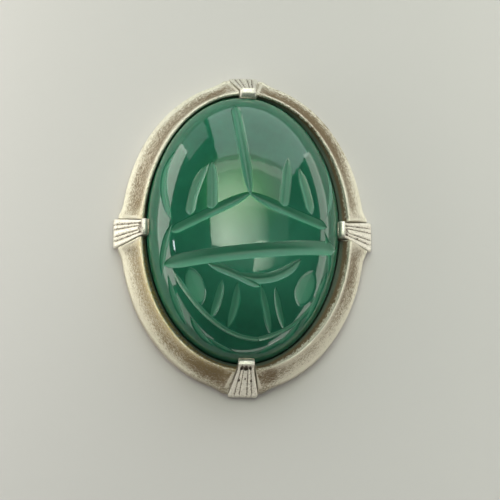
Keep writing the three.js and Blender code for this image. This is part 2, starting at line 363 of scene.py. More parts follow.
def dress(piece, slot, *nodes):
    """The piece rides on the part's one body and stands for CAD nodes, which it hides; slot is not
    used.
    """
    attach(piece, "root")
    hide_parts(*nodes)


# ---- Materials ----


def object_position(tree):
    """Object coordinates in millimetres."""
    place = add(tree, "ShaderNodeTexCoord").outputs["Object"]
    return stretched(tree, place, (1 / MM,) * 3)


def noise(tree, place, size, detail, roughness):
    """Noise from 0 to 1, with features of about the given size in millimetres."""
    values = {"Vector": place, "Scale": 1 / size, "Detail": detail, "Roughness": roughness}
    return Field(tree, add(tree, "ShaderNodeTexNoise", values).outputs["Fac"])


def stretched(tree, place, factors):
    return vector_math(tree, "MULTIPLY", place, factors).outputs[0]


def near(tree, place, centre, reach):
    """1 about a centre, fading to 0 where an oval body of the given reach ends."""
    offset = vector_math(tree, "SUBTRACT", place, centre).outputs[0]
    offset = stretched(tree, offset, [1 / size for size in reach])
    away = Field(tree, vector_math(tree, "LENGTH", offset).outputs["Value"])
    return 1.0 - away.smooth(0.1, 1.0)


def attribute(tree, name):
    return Field(tree, add(tree, "ShaderNodeAttribute", attribute_name=name).outputs["Fac"])


def mix_colours(tree, share, first, second):
    """A colour a share of the way from the first to the second."""
    made = add(tree, "ShaderNodeMix", data_type="RGBA")
    feed(tree, made.inputs[0], share)
    for socket, value in ((made.inputs[6], first), (made.inputs[7], second)):
        feed(tree, socket, value if isinstance(value, bpy.types.NodeSocket) else (*value, 1))
    return made.outputs[2]


# Gold tint of a painted reflection on the silver, and the dull green-grey of painted shade and
# reflection on the seat's inner wall.
GOLD_REFLECTION = (0.55, 0.43, 0.17)
SEAT_SHADE = (0.075, 0.1, 0.07)

# The middles and reaches, in millimetres, of the painted light in the stone: the lighter green
# where it is thickest, then the yellower painted glow below its crown.
PAINTED_INNER_LIGHT = ((1.0, -3.0, 7.0), (7.5, 7.0, 9.0))
PAINTED_GLOW = ((-0.7, 2.5, 7.5), (5.0, 5.2, 5.0))


def silver_finish():
    """The shader group for worn silver: tarnish and painted shade where a mask says, a painted
    gold reflection, and grain.
    """
    name = "Worn silver"
    if name in bpy.data.node_groups:
        return bpy.data.node_groups[name]
    levels = ("Gathered", "Yellowed", "Patchiness", "Smoothness", "Grain")
    inputs = {"Place": "Vector", "Silver": "Color", "Tarnish": "Color"}
    inputs |= dict.fromkeys(levels, "Float")
    outputs = {"Colour": "Color", "Metallic": "Float", "Roughness": "Float", "Height": "Float"}
    tree, source, result = new_tree(name, "ShaderNodeTree", inputs, outputs)
    given = {socket.name: Field(tree, socket) for socket in source.outputs if socket.name}
    place = given["Place"].socket
    patches = noise(tree, place, 1.6, 4, 0.6)
    specks = noise(tree, place, 0.15, 4, 0.65)
    fine = noise(tree, place, 0.08, 2, 0.6)
    stain = given["Gathered"] + (patches - 0.5) * given["Patchiness"] * 1.6
    stain = stain + (specks - 0.5) * 2.6 + (fine - 0.5) * 2.2
    stain = stain.smooth(-0.05, 1.05)
    worn = mix_colours(tree, stain, given["Silver"].socket, given["Tarnish"].socket)
    # Painted reflection: a gold tint, in specks, where the ring faces left and forward.
    gold_glints = given["Yellowed"] * specks.smooth(0.35, 0.65)
    worn = mix_colours(tree, gold_glints, worn, GOLD_REFLECTION)
    # Past 1.6 the mask is the seat's inner wall: painted shade and reflection, a dull green-grey
    # that is hardly metal.
    seat_shaded = given["Gathered"].smooth(1.6, 2.4)
    feed(tree, result.inputs["Colour"], mix_colours(tree, seat_shaded, worn, SEAT_SHADE))
    feed(tree, result.inputs["Metallic"], 1.0 - seat_shaded * 0.9)
    rough = given["Smoothness"] + stain * 0.22 + (fine - 0.5) * 0.12
    feed(tree, result.inputs["Roughness"], rough)
    feed(tree, result.inputs["Height"], (specks * 0.7 + fine * 0.3) * given["Grain"])
    return tree


def new_material(name):
    """A material with only a Principled shader. Returns it, its tree and the shader."""
    made = bpy.data.materials.new(name)
    made.use_nodes = True
    tree = made.node_tree
    return made, tree, tree.nodes["Principled BSDF"]


def bump(tree, shader, height, depth):
    made = add(tree, "ShaderNodeBump", {"Height": height, "Distance": depth})
    feed(tree, shader.inputs["Normal"], made.outputs["Normal"])


def round_the_ring(tree):
    """Object coordinates in millimetres, squeezed so that noise in them streaks round the ring."""
    x, y, z = parts(tree, object_position(tree))
    slimmer = STONE_HALF_WIDTH / STONE_HALF_LENGTH
    radius = (x * x + (y * slimmer) ** 2.0).root()
    return vector(tree, (radius - z * 0.9) * 2.0, x * 0.5 + z * 0.2, y * 0.5)


def silver_material(name, settings, mask, patchiness, smoothness, grain, place=object_position):
    """Silver whose tarnish gathers where the piece's own mask attribute is high."""
    made, tree, shader = new_material(name)
    group = add(tree, "ShaderNodeGroup", node_tree=silver_finish())
    values = {
        "Silver": (*settings.silver, 1),
        "Tarnish": (*settings.tarnish, 1),
        "Place": place(tree),
        "Gathered": attribute(tree, mask),
        "Yellowed": attribute(tree, "yellowed"),
        "Patchiness": patchiness,
        "Smoothness": smoothness,
        "Grain": grain,
    }
    for label, value in values.items():
        feed(tree, group.inputs[label], value)
    feed(tree, shader.inputs["Base Color"], group.outputs["Colour"])
    for label in ("Metallic", "Roughness"):
        feed(tree, shader.inputs[label], group.outputs[label])
    bump(tree, shader, group.outputs["Height"], 0.02 * MM)
    return made


def depth_of_cut(tree, place, settings):
    """0 on the polished dome, rising to 1 a little way down in the cuts."""
    x, y, z = parts(tree, vector_math(tree, "SUBTRACT", place, DOME_CENTRE).outputs[0])
    across = x * (MM / STONE_HALF_WIDTH)
    along = y * (MM / STONE_HALF_LENGTH)
    height = (z - settings.girdle / MM) / ((STONE_HIGH.z - settings.girdle) / MM)
    reach = (across * across + along * along).root()
    fill = reach**settings.fullness + height.most(0.0) ** settings.fullness
    return (1.0 - fill).smooth(0.002, 0.035) * height.above(0.0)


def stone_material(settings):
    """Chalcedony: a deep translucent green with faint clouds and painted light in its middle,
    polished but for the cut lines.
    """
    made, tree, shader = new_material("green chalcedony")
    place = object_position(tree)
    cut = depth_of_cut(tree, place, settings)
    clouds = noise(tree, place, 5.0, 2, 0.5).smooth(0.35, 0.75)
    mottle = noise(tree, place, 0.9, 3, 0.6) - 0.5
    along = parts(tree, place)[1]
    # Paler in the clouds and mottles, and paler away from the head end, so that the head end is
    # darker.
    paler = (clouds * 0.45 + along.smooth(-12.0, -3.0) * 0.4 + mottle * 0.7).within()
    body = mix_colours(tree, paler, settings.body, settings.cloud)
    # Painted light: a lighter green where the stone is thickest, then a yellower painted glow
    # below its crown.
    body = mix_colours(tree, near(tree, place, *PAINTED_INNER_LIGHT) * 0.75, body, settings.painted_inner_light)
    body = mix_colours(tree, near(tree, place, *PAINTED_GLOW), body, settings.painted_glow)
    feed(tree, shader.inputs["Base Color"], mix_colours(tree, cut, body, settings.ground))
    feed(tree, shader.inputs["Roughness"], 0.045 + cut * 0.42)
    grit = noise(tree, place, 0.09, 3, 0.6)
    waves = noise(tree, place, 1.4, 2, 0.5)
    bump(tree, shader, grit * cut + waves * 0.8, 0.012 * MM)
    depths = {"Weight": 0.9, "Radius": (0.5, 1.2, 0.9), "Scale": 1 * MM}
    for label, value in depths.items():
        shader.inputs[f"Subsurface {label}"].default_value = value
    shader.inputs["IOR"].default_value = 1.54
    return made


# ---- The stone ----


class Cut:
    """A groove left by the wheel: an arc on the dome, tapered at both ends.

    Points are seen from above, in millimetres from the stone's centre. bow and lead move the
    middle to the left of the straight line and along it. ends are the shares of the length that
    taper, and a blunter cut keeps its width longer.
    """

    def __init__(
        self, start, end, width, bow=0.0, ends=(0.4, 0.4), lead=0.0, depth=None, blunt=0.0
    ):
        self.start, self.end = Vector(start), Vector(end)
        self.width, self.bow, self.ends, self.lead, self.blunt = width, bow, ends, lead, blunt
        self.depth = depth or 0.34 * width

    def bend(self):
        """The middle control point of the arc."""
        along = (self.end - self.start).normalized()
        left = Vector((-along.y, along.x))
        return (self.start + self.end) / 2 + 2 * (left * self.bow + along * self.lead)


CUTS = [
    # The line between the wing cases, and the two lines that part them from the thorax.
    Cut((-0.9, 11.3), (0.45, 2.0), 1.0, ends=(0.1, 0.3), blunt=0.4),
    Cut((0.55, 2.4), (-6.8, -1.05), 1.0, 0.11, (0.3, 0.1), blunt=0.35),
    Cut((0.2, 2.4), (7.6, -0.35), 1.0, -0.27, (0.3, 0.12), blunt=0.35),
    # The broad line between thorax and head.
    Cut((-7.4, -4.0), (8.5, -2.2), 1.5, ends=(0.14, 0.08), depth=0.4, blunt=0.5),
    # The shield of the head.
    Cut((-1.5, -4.9), (5.1, -3.6), 1.0, -1.25, (0.4, 0.25), blunt=0.3),
    Cut((-3.5, -4.2), (1.3, -6.3), 0.8, 0.1, (0.3, 0.2), blunt=0.3),
    # Four rays in front of the shield.
    Cut((-2.2, -5.7), (-3.15, -9.1), 0.85, 0.15, depth=0.2, blunt=0.4),
    Cut((-0.75, -5.9), (-1.6, -10.0), 0.9, 0.2, depth=0.2, blunt=0.4),
    Cut((1.4, -6.1), (2.45, -10.45), 0.8, depth=0.18, blunt=0.4),
    Cut((2.75, -6.3), (3.7, -9.95), 0.7, -0.1, depth=0.18, blunt=0.4),
    # The eyes, two oval facets: a blade this wide is all but flat.
    Cut((-5.25, -4.4), (-4.0, -7.9), 6.0, depth=0.13, blunt=0.3, ends=(0.5, 0.4)),
    Cut((6.3, -4.5), (5.0, -7.8), 6.0, depth=0.155, blunt=0.3, ends=(0.5, 0.4)),
    # The edge of the body round the head.
    Cut((-6.6, -4.5), (1.45, -10.8), 0.55, -1.45, (0.15, 0.01), depth=0.18, lead=0.9),
    Cut((1.2, -10.8), (7.7, -4.2), 0.55, -1.45, (0.01, 0.15), depth=0.18, lead=-0.15),
    # Two strokes on each wing case.
    Cut((-3.4, 5.2), (-5.1, 0.3), 1.0, -0.36, (0.45, 0.12), depth=0.24, blunt=0.3),
    Cut((-3.1, 5.4), (-3.1, 0.7), 1.15, 0.04, (0.4, 0.12), depth=0.26, blunt=0.35),
    Cut((4.95, 5.0), (6.1, 0.6), 1.0, 0.06, (0.4, 0.2), depth=0.22, blunt=0.25),
    Cut((3.95, 5.9), (3.45, 0.95), 1.05, 0.03, (0.4, 0.15), depth=0.24, blunt=0.3),
]

# The legs, cut low on both sides: behind, in the middle, and three in front.
LEFT_LEGS = [
    Cut((-6.3, 6.9), (-6.75, 0.0), 0.85, -0.96, (0.35, 0.3), lead=-0.36, depth=0.24, blunt=0.2),
    Cut((-6.65, -0.2), (-7.5, -5.1), 0.8, -0.34, depth=0.22),
    Cut((-7.0, -4.9), (-5.25, -9.5), 0.75, -0.21, depth=0.22),
    Cut((-4.95, -8.7), (-2.7, -11.35), 0.7, -0.27, depth=0.2),
    Cut((-3.5, -10.5), (-0.5, -12.0), 0.6, -0.2, depth=0.16),
]
RIGHT_LEGS = [
    Cut((7.3, 6.6), (7.5, 0.5), 0.6, 0.7, depth=0.2),
    Cut((7.3, -0.7), (7.8, -4.8), 0.6, 0.3, depth=0.18),
    Cut((7.2, -4.9), (5.4, -9.4), 0.75, 0.3, depth=0.22),
    Cut((5.3, -8.7), (2.9, -11.3), 0.7, 0.25, depth=0.2),
    Cut((3.9, -10.4), (1.0, -12.0), 0.6, 0.2, depth=0.16),
]


# The wheel goes a little deeper than drawn, and stands this far out of the stone.
DEEPER = 1.15
LIFT = 0.5 * MM


def blank_stone(settings):
    """The uncut stone: a bevelled underside, an upright girdle and a dome."""
    rings = [
        (1 - settings.bevel / STONE_HALF_WIDTH, STONE_LOW.z),
        (1, STONE_LOW.z + settings.bevel),
        (1, (STONE_LOW.z + settings.bevel + settings.girdle) / 2),
        (1, settings.girdle),
    ]
    rise = STONE_HIGH.z - settings.girdle
    power = 2 / settings.fullness
    for i in range(1, settings.rings):
        angle = i / settings.rings * math.pi / 2
        height = settings.girdle + rise * math.sin(angle) ** power
        rings.append((math.cos(angle) ** power, height))
    angles = np.arange(settings.around) * 2 * math.pi / settings.around
    oval = np.stack([STONE_HALF_WIDTH * np.cos(angles), STONE_HALF_LENGTH * np.sin(angles)], 1)
    centre = np.array(STONE_CENTRE[:2])
    count = settings.around
    points = [np.column_stack([centre + share * oval, np.full(count, z)]) for share, z in rings]
    points = np.concatenate([*points, [[*centre, STONE_LOW.z], [*centre, STONE_HIGH.z]]])
    here = np.arange(count)
    after = (here + 1) % count
    last = (len(rings) - 1) * count
    faces = []
    for low in range(0, last, count):
        high = low + count
        faces += np.stack([low + here, low + after, high + after, high + here], 1).tolist()
    bottom, top = np.full(count, len(points) - 2), np.full(count, len(points) - 1)
    faces += np.stack([after, here, bottom], 1).tolist()
    faces += np.stack([last + here, last + after, top], 1).tolist()
    mesh = bpy.data.meshes.new("blank stone")
    mesh.from_pydata(points.tolist(), [], faces)
    mesh.shade_smooth()
    return new_object("blank stone", mesh)


def wheel_cut_tree():
    """Sweeps a V-shaped blade along an arc laid on a surface, tapering it at both ends."""
    tree, given, result = geometry_tree(
        "Wheel cut",
        Float=("Width", "Depth", "Lift", "Ease", "Start Taper", "End Taper", "Blunt"),
        Vector=("Start", "Bend", "End"),
        Object=("Surface",),
    )
    bends = {"Start": given["Start"], "Middle": given["Bend"], "End": given["End"]}
    arc = add(tree, "GeometryNodeCurveQuadraticBezier", {"Resolution": 56} | bends)
    surface = add(tree, "GeometryNodeObjectInfo", {"Object": given["Surface"]})
    ray = {
        "Target Geometry": surface.outputs["Geometry"],
        "Attribute": add(tree, "GeometryNodeInputNormal").outputs[0],
        "Source Position": add(tree, "GeometryNodeInputPosition").outputs[0],
        "Ray Direction": (0, 0, -1),
        "Ray Length": 1.0,
    }
    landing = add(tree, "GeometryNodeRaycast", ray, data_type="FLOAT_VECTOR")
    normals = {"Curve": arc.outputs[0], "Normal": landing.outputs["Attribute"]}
    upright = add(tree, "GeometryNodeSetCurveNormal", normals, mode="FREE")
    laid = moved(tree, upright.outputs[0], landing.outputs["Hit Position"])
    share = Field(tree, add(tree, "GeometryNodeSplineParameter").outputs["Factor"])
    quarter = math.pi / 2
    rise = ((share / given["Start Taper"]).least(1.0) * quarter).sin()
    fall = (((1.0 - share) / given["End Taper"]).least(1.0) * quarter).sin()
    depth, lift = given["Depth"], given["Lift"]
    spread = given["Width"] / 2.0 * (1.0 + lift / depth)
    corners = {
        "Point 1": vector(tree, -depth, 0.0, 0.0),
        "Point 2": vector(tree, lift, -spread, 0.0),
        "Point 3": vector(tree, lift * 1.4, 0.0, 0.0),
        "Point 4": vector(tree, lift, spread, 0.0),
    }
    blade = add(tree, "GeometryNodeCurvePrimitiveQuadrilateral", corners, mode="POINTS")
    lines = {
        "Curve": laid,
        "Profile Curve": eased(tree, blade.outputs[0], given["Ease"]),
        "Scale": ((rise * fall) ** (1.0 - given["Blunt"])).most(0.02),
        "Fill Caps": True,
    }
    swept = add(tree, "GeometryNodeCurveToMesh", lines)
    feed(tree, result.inputs[0], swept.outputs[0])
    return tree


# How far inside the dome a face's middle lies if it belongs to a cut: 1 is the dome itself.
CUT_BELOW = 0.0015


def dome_fill(points, settings):
    """1 on the uncut dome and less inside it, and the dome's outward normals there."""
    half = np.array([STONE_HALF_WIDTH, STONE_HALF_LENGTH])
    plan = (points[:, :2] - np.array(STONE_CENTRE[:2])) / half
    rise = STONE_HIGH.z - settings.girdle
    height = np.clip((points[:, 2] - settings.girdle) / rise, 0, None)
    reach = np.maximum(np.hypot(*plan.T), 1e-6)
    power = settings.fullness
    normals = np.column_stack(
        [plan / half * reach[:, None] ** (power - 2), height ** (power - 1) / rise]
    )
    normals /= np.maximum(np.linalg.norm(normals, axis=1), 1e-9)[:, None]
    return reach**power + height**power, normals


def read(items, name, kind=float, width=1):
    """One property of every face, edge, corner or point, as an array."""
    values = np.empty(len(items) * width, kind)
    items.foreach_get(name, values)
    return values.reshape(-1, width) if width > 1 else values


def tell_cuts_apart(mesh, settings):
    """Keeps the edges of the cuts sharp, and gives the dome its exact normals."""
    centres = read(mesh.polygons, "center", width=3)
    fill, _ = dome_fill(centres, settings)
    domed = centres[:, 2] > settings.girdle
    cut = (fill < 1 - CUT_BELOW) & domed
    mesh.shade_smooth()
    mesh.set_sharp_from_angle(angle=math.radians(30))
    sizes = read(mesh.polygons, "loop_total", np.int32)
    loop_edges = read(mesh.loops, "edge_index", np.int32)
    loop_cut = np.repeat(cut, sizes)
    plain, ground = (
        np.bincount(loop_edges[loop_cut == side], minlength=len(mesh.edges)) > 0 for side in (0, 1)
    )
    sharp = read(mesh.edges, "use_edge_sharp", bool)
    mesh.edges.foreach_set("use_edge_sharp", sharp | (plain & ground))
    _, normals = dome_fill(read(mesh.vertices, "co", width=3), settings)
    on_dome = ~loop_cut & np.repeat(domed, sizes)
    loop_points = read(mesh.loops, "vertex_index", np.int32)
    chosen = np.where(on_dome[:, None], normals[loop_points], 0.0)
    mesh.normals_split_custom_set(chosen.tolist())


class SCARAB_OT_stone(bpy.types.Operator):
    """Cut the scarab: an oval cabochon with its lines ground in by a wheel"""

    bl_idname = "scarab.stone"
    bl_label = "Cut the Stone"

    def execute(self, context):
        settings = context.scene.scarab_stone
        blank = blank_stone(settings)
        stone = new_object("scarab_stone", blank.data.copy())
        tree = wheel_cut_tree()
        above = STONE_HIGH.z + 1 * MM
        blades = []
        for number, line in enumerate([*CUTS, *LEFT_LEGS, *RIGHT_LEGS]):
            blade = new_object(f"blade {number}")
            values = {
                "Width": line.width * MM,
                "Depth": DEEPER * line.depth * MM,
                "Lift": LIFT,
                "Ease": min(0.3 * line.width, 0.4) * MM,
                "Blunt": line.blunt,
                "Start Taper": line.ends[0],
                "End Taper": line.ends[1],
                "Surface": blank,
            }
            for name, point in (("Start", line.start), ("Bend", line.bend()), ("End", line.end)):
                values[name] = [*(point * MM + STONE_CENTRE.xy), above]
            grow(blade, tree, values)
            boolean = stone.modifiers.new(blade.name, "BOOLEAN")
            boolean.operation = "DIFFERENCE"
            boolean.solver = "MANIFOLD"
            boolean.object = blade
            blades.append(blade)
        settle(stone)
        for helper in (*blades, blank):
            bpy.data.objects.remove(helper)
        tell_cuts_apart(stone.data, settings)
        stone.data.materials.clear()
        stone.data.materials.append(stone_material(settings))
        dress(stone, "chalcedony", "scarab")
        return {"FINISHED"}


# ---- The frame ----


# The circle that the ring's section is swept round, before it is laid on the ovals.
CARRIER = 10 * MM

# The ring tree's inputs that are settings of the frame.
RING_INPUTS = (
    *("Opening Width", "Opening Length", "Ring Width", "Flare", "Flare Reach"),
    *("Hollow", "Rib", "Nearing", "Parting"),
)


def ring_tree(settings, claws, slots):
    """Sweeps a section round two ovals, hollows its slope and cuts the claws' slots."""
    tree, given, result = geometry_tree(
        "Hollowed ring",
        Float=(*RING_INPUTS, "Seat Width", "Seat Length", "Rim", "Lip", "Foot Width"),
        Material=("Material",),
    )
    circle = {"Resolution": settings.around, "Radius": CARRIER}
    section = add(tree, "GeometryNodeMeshToCurve", {0: given["Geometry"]}).outputs[0]
    lines = {
        "Curve": add(tree, "GeometryNodeCurvePrimitiveCircle", circle).outputs[0],
        "Profile Curve": eased(tree, section, settings.edge),
    }
    swept = add(tree, "GeometryNodeCurveToMesh", lines).outputs[0]
    x, y, z = coordinates(tree)
    radius = (x * x + y * y).root()
    cos, sin = x / radius, y / radius
    out = radius - CARRIER
    to_seat = (-out / settings.clearance).within()
    under = (-out - settings.clearance).most(0.0)
    half_width = given["Opening Width"].toward(given["Seat Width"], to_seat) - under
    half_length = given["Opening Length"].toward(given["Seat Length"], to_seat) - under
    flat_x = half_width * cos + to_seat * STONE_CENTRE.x
    flat_y = half_length * sin + to_seat * STONE_CENTRE.y
    lean_x, lean_y = cos / given["Opening Width"], sin / given["Opening Length"]
    lean = (lean_x * lean_x + lean_y * lean_y).root()
    lean_x, lean_y = lean_x / lean, lean_y / lean
    across = abs(flat_x).least(abs(flat_y))
    # 1 beside or under a claw, falling to 0 like a fillet.
    beside = (1.0 - (across - given["Foot Width"]) / given["Flare Reach"]).within() ** 2.0
    share = ((z - given["Rim"]) / (given["Lip"] - given["Rim"])).within()
    outside = out.above(0.1 * MM)
    arch = (share * math.pi).sin()
    dip = arch * outside * (1.0 - beside) * given["Hollow"]
    # The opening isn't quite even: its lip stands closer to the stone in places.
    nearing = (-cos).most(0.0) ** 2.0 * (0.5 + sin * 0.8).most(0.0) * given["Nearing"]
    parting = (-sin).most(0.0).root() * (0.6 + cos * 0.4) * given["Parting"]
    shift = (parting - nearing) * (1.0 - out.most(0.0) / given["Ring Width"]) * (1.0 - to_seat)
    outward = out.most(0.0) * (1.0 + beside * given["Flare"] / given["Ring Width"]) - dip + shift
    # The bright edge that stands along both sides of each claw.
    end_on = abs(flat_y).above(abs(flat_x))
    tall = abs(flat_x).most(abs(flat_y)) + out.most(0.0)
    (side_foot, side_fan), (end_foot, end_fan) = (
        (one[0], one[0] - (one[1] + other[1]) / 2) for one, other in zip(slots, slots[2:])
    )
    foot = side_foot + end_on * (end_foot - side_foot)
    fan = ((foot - tall) / (side_fan + end_on * (end_fan - side_fan))).within()
    aside = flat_y.toward(flat_x - flat_y.above(0.0) * fan * claws.tail_lean, end_on)
    from_slot = abs(aside) - (claws.foot_width + (claws.tip_width - claws.foot_width) * fan)
    rib = 1.0 - (abs(from_slot - 0.16 * MM) / (0.2 * MM)).within()
    rib = rib.smooth(0.0, 1.0) * arch.root() * outside
    # Darker in some parts of the ring: partly tarnish and partly painted shade where little light
    # falls on it. A painted gold reflection where it faces left and forward.
    turn = sin.turn_from(cos) / (2 * math.pi) + 0.5
    tarnish_and_shade = curve_through(tree, turn, RING_TARNISH_AND_SHADE, smooth=True) - 0.4
    stained = arch.most(0.0) ** 0.6 * outside * (1.0 - beside * 0.5) * 0.75
    # The seat's inner wall, facing the stone, gets painted shade and reflection.
    seat_shade = (-out / (0.06 * MM)).within() * 3.0
    # Painted gold reflection where the ring faces left and forward, strongest at the lip.
    yellowed = (cos * -0.8 - sin * 0.6).most(0.0) ** 3.0
    yellowed = yellowed * (0.1 + share * share * 0.9) * (1.0 - rib)
    # The mask: tarnish in the hollow, painted shade round the ring and on the seat wall, and clean
    # ribs.
    hollow = stained + tarnish_and_shade * (1.0 - rib) + seat_shade - rib * 1.4
    marked = noted(tree, noted(tree, swept, "hollow", hollow), "yellowed", yellowed)
    place = (flat_x + lean_x * outward, flat_y + lean_y * outward, z - dip + rib * given["Rib"])
    bent = moved(tree, marked, vector(tree, *place))
    exact = {"operation": "DIFFERENCE", "solver": "MANIFOLD"}
    cut = add(tree, "GeometryNodeMeshBoolean", {0: bent}, **exact)
    for slot in slots:
        tree.links.new(slot_wedge(tree, claws, *slot), cut.inputs[1])
    finish_tree(tree, result, cut.outputs[0], given["Material"], math.radians(35))
    return tree


# How dark the ring is from its left side round by the head, right and tail, back to left: partly
# tarnish and partly painted shade.
RING_TARNISH_AND_SHADE = [
    *((0, 0.42), (0.08, 0.15), (0.15, 0.3), (0.21, 0.85), (0.25, 0.9), (0.29, 0.62)),
    *((0.33, 0), (0.4, 0.1), (0.45, 0.42), (0.5, 0.3), (0.54, 0.3), (0.63, 0.85)),
    *((0.72, 0.68), (0.8, 0.52), (0.87, 0.36), (0.95, 0.4), (1, 0.42)),
]


def slot_wedge(tree, claws, foot, pad_foot, turn, lean):
    """A slot for one claw: its fan grown by the joint's gap, open above and at both ends."""
    box = divided_box(tree, 24, 2)
    x, y, z = coordinates(tree)
    inner, outer = pad_foot - 1 * MM, foot + 0.5 * MM
    along = inner + (outer - inner) * (x + 1.0) / 2.0
    share = (foot - along) / (foot - pad_foot)
    half = claws.foot_width + (claws.tip_width - claws.foot_width) * share.least(1.0) + claws.joint
    across = half * y + share.within() * lean
    under_pad = claws.shoulder - claws.thickness
    floor = claws.foot + (under_pad - claws.foot) * share.within() - claws.joint
    height = floor + (claws.pad + 1 * MM - floor) * z.above(0.0)
    wedge = moved(tree, box, vector(tree, along, across, height))
    turned = add(tree, "GeometryNodeTransform", {"Geometry": wedge, "Rotation": (0, 0, turn)})
    return turned.outputs[0]


def ring_section(settings):
    """The ring's closed section, drawn flat: X is outward from the opening, Y is down."""
    rim, edge = settings.ring_width, settings.edge
    back = -settings.clearance - settings.ledge_width
    corners = [(back, 0), (back, settings.ledge), (-settings.clearance, settings.ledge)]
    corners += [(-settings.clearance, settings.packed), (0, FRAME_HIGH.z - edge)]
    corners += [(settings.lip_width / 2, FRAME_HIGH.z)]
    steps = 18
    start = Vector((settings.lip_width, FRAME_HIGH.z - edge))
    end = Vector((rim - settings.rim_width, settings.rim + edge))
    corners += [tuple(start.lerp(end, i / steps)) for i in range(steps + 1)]
    corners += [(rim, settings.rim), (rim, 0)]
    mesh = bpy.data.meshes.new("ring section")
    count = len(corners)
    edges = [(i, (i + 1) % count) for i in range(count)]
    mesh.from_pydata([(r, -z, 0) for r, z in corners], edges, [])
    return mesh


class SCARAB_OT_frame(bpy.types.Operator):
    """Make the silver ring round the stone, with its hollowed slope and the claws' slots"""

    bl_idname = "scarab.frame"
    bl_label = "Make the Frame"

    def execute(self, context):
        settings = context.scene.scarab_frame
        claws = context.scene.scarab_claws
        ring = new_object("silver_frame", ring_section(settings))
        slots = []
        for node, turn in CLAWS.items():
            foot, tip = foot_and_tip(node, turn)
            slots.append((foot, tip + pad_length_of(node, claws), turn, lean_of(node, claws)))
        values = {name: getattr(settings, name.lower().replace(" ", "_")) for name in RING_INPUTS}
        values |= {
            "Seat Width": STONE_HALF_WIDTH + settings.seat_gap,
            "Seat Length": STONE_HALF_LENGTH + settings.seat_gap,
            "Rim": settings.rim + settings.edge,
            "Lip": FRAME_HIGH.z - settings.edge,
            "Foot Width": claws.foot_width,
            "Material": silver_material(
                "frame silver", settings, "hollow", 0.5, 0.45, 4.5, round_the_ring
            ),
        }
        grow(ring, ring_tree(settings, claws, slots), values)
        settle(ring)
        dress(ring, "frame_silver", "frame")
        return {"FINISHED"}


# ---- The claws ----

# Each claw's node, and how far it is turned from +X.
CLAWS = {
    "claw_right": 0.0,
    "claw_tail": math.pi / 2,
    "claw_left": math.pi,
    "claw_head": -math.pi / 2,
}


def foot_and_tip(node, turn):
    """How far a claw's foot and tip are from the frame's centre, from its own box."""
    low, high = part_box(node)
    outward = Vector((math.cos(turn), math.sin(turn), 0))
    reaches = sorted(abs(corner.dot(outward)) for corner in (low, high))
    return reaches[1], reaches[0]


def lean_of(node, claws):
    """How far a claw's pad stands to its own left, so that head and tail lean to the right."""
    return {"claw_tail": -claws.tail_lean, "claw_head": claws.head_lean}.get(node, 0.0)


def pad_length_of(node, claws):
    return claws.tail_pad if node == "claw_tail" else claws.pad_length


def dome_height(x, y, stone):
    """The stone's height at a point, as Fields, and nothing outside its outline."""
    across = (x - STONE_CENTRE.x) / STONE_HALF_WIDTH
    along = (y - STONE_CENTRE.y) / STONE_HALF_LENGTH
    reach = (across * across + along * along).root().least(1.0)
    rise = STONE_HIGH.z - stone.girdle
    dome = (1.0 - reach**stone.fullness) ** (1 / stone.fullness) * rise + stone.girdle
    return dome * (1.0 - reach.above(0.9999))


def drop(away, size):
    """How far a rounded corner of a given size has dropped, this far away from its end."""
    near_end = (1.0 - away / size).within()
    return (1.0 - (1.0 - near_end * near_end).root()) * size


# How deep the flutes' lines are, from the middle of a claw out to its side.
FLUTES = [
    *((0, 0), (0.12, 0.08), (0.25, 1), (0.35, 0.3), (0.41, 0.2), (0.47, 0.3)),
    *((0.57, 1), (0.7, 0.25), (0.84, 0), (0.94, 0.1), (1, 0.5)),
]


